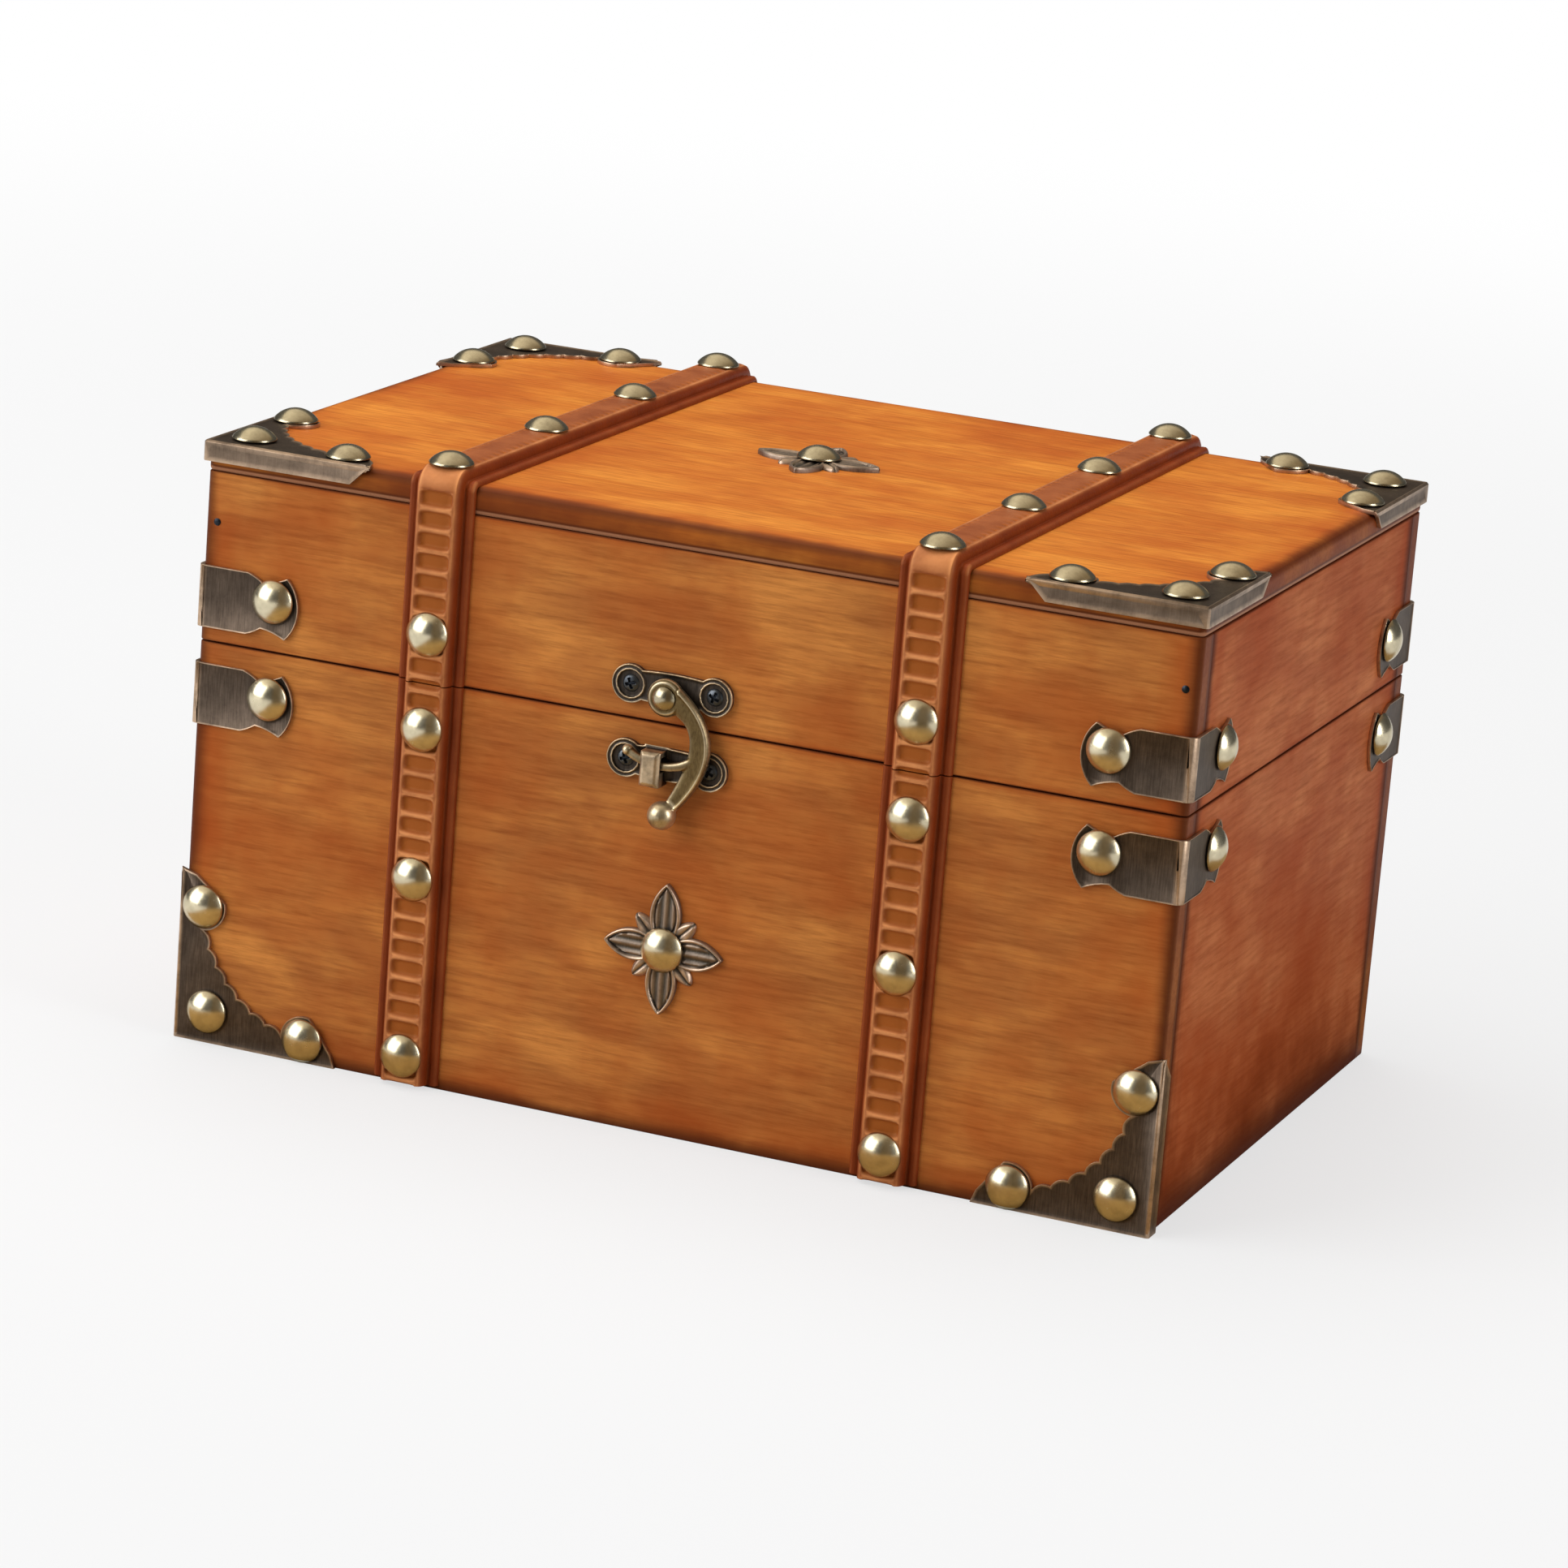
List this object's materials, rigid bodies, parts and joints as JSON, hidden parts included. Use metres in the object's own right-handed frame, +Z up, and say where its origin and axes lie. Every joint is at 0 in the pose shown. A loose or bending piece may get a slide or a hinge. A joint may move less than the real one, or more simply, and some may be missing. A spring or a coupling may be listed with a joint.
{
  "type": "treasure chest",
  "caption": "Small flat-topped wooden treasure chest with a hinged lid, leather straps, dome nails, scalloped metal corners and a horn-shaped swing latch.",
  "frame": {"origin": "centre of the box's footprint on the surface it stands on", "axes": "+X to the right seen from the front, -Y towards the front with the latch, +Z up"},
  "size_m": [0.2574, 0.1814, 0.1539],
  "materials": {
    "stained_wood": "brown stain under satin lacquer, darkened at the edges",
    "strap_leather": "embossed red-brown leather with rubbed high spots",
    "antique_bronze": "dark patina with rubbed bright edges",
    "polished_brass": "polished, slightly aged"
  },
  "bodies": {
    "box": {"body_front_panel": "stained_wood", "body_back_panel": "stained_wood", "body_left_panel": "stained_wood", "body_right_panel": "stained_wood", "body_bottom_panel": "stained_wood", "body_front_strap_left": "strap_leather", "body_front_strap_right": "strap_leather", "body_back_strap_left": "strap_leather", "body_back_strap_right": "strap_leather", "body_strap_nails": "polished_brass", "base_irons": "antique_bronze", "base_iron_nails": "polished_brass", "body_front_wraps": "antique_bronze", "body_back_wraps": "antique_bronze", "body_wrap_nails": "polished_brass", "body_flower": "antique_bronze", "body_flower_nail": "polished_brass", "latch_catch_plate": "antique_bronze", "hinge_box_leaf_left": "antique_bronze", "hinge_box_leaf_right": "antique_bronze", "hinge_pin_left": "antique_bronze", "hinge_pin_right": "antique_bronze"},
    "lid": {"lid_front_rail": "stained_wood", "lid_back_rail": "stained_wood", "lid_left_rail": "stained_wood", "lid_right_rail": "stained_wood", "lid_top_panel": "stained_wood", "lid_strap_left": "strap_leather", "lid_strap_right": "strap_leather", "lid_strap_nails": "polished_brass", "lid_front_irons": "antique_bronze", "lid_back_irons": "antique_bronze", "lid_iron_nails": "polished_brass", "lid_front_wraps": "antique_bronze", "lid_back_wraps": "antique_bronze", "lid_wrap_nails": "polished_brass", "lid_flower": "antique_bronze", "lid_flower_nail": "polished_brass", "latch_plate": "antique_bronze", "latch_rivet": "antique_bronze", "hinge_lid_leaf_left": "antique_bronze", "hinge_lid_leaf_right": "antique_bronze"},
    "latch_arm": {"latch_arm": "antique_bronze"}
  },
  "joints": [
    {"name": "lid_hinge", "type": "hinge", "parent": "box", "child": "lid", "pos_m": [0, 0.0853, 0.09865], "axis": [-1, 0, 0], "range_deg": [0, 110]},
    {"name": "latch_swing", "type": "hinge", "parent": "lid", "child": "latch_arm", "pos_m": [-0.002, -0.086, 0.10555], "axis": [0, -1, 0], "range_deg": [0, 100]}
  ]
}
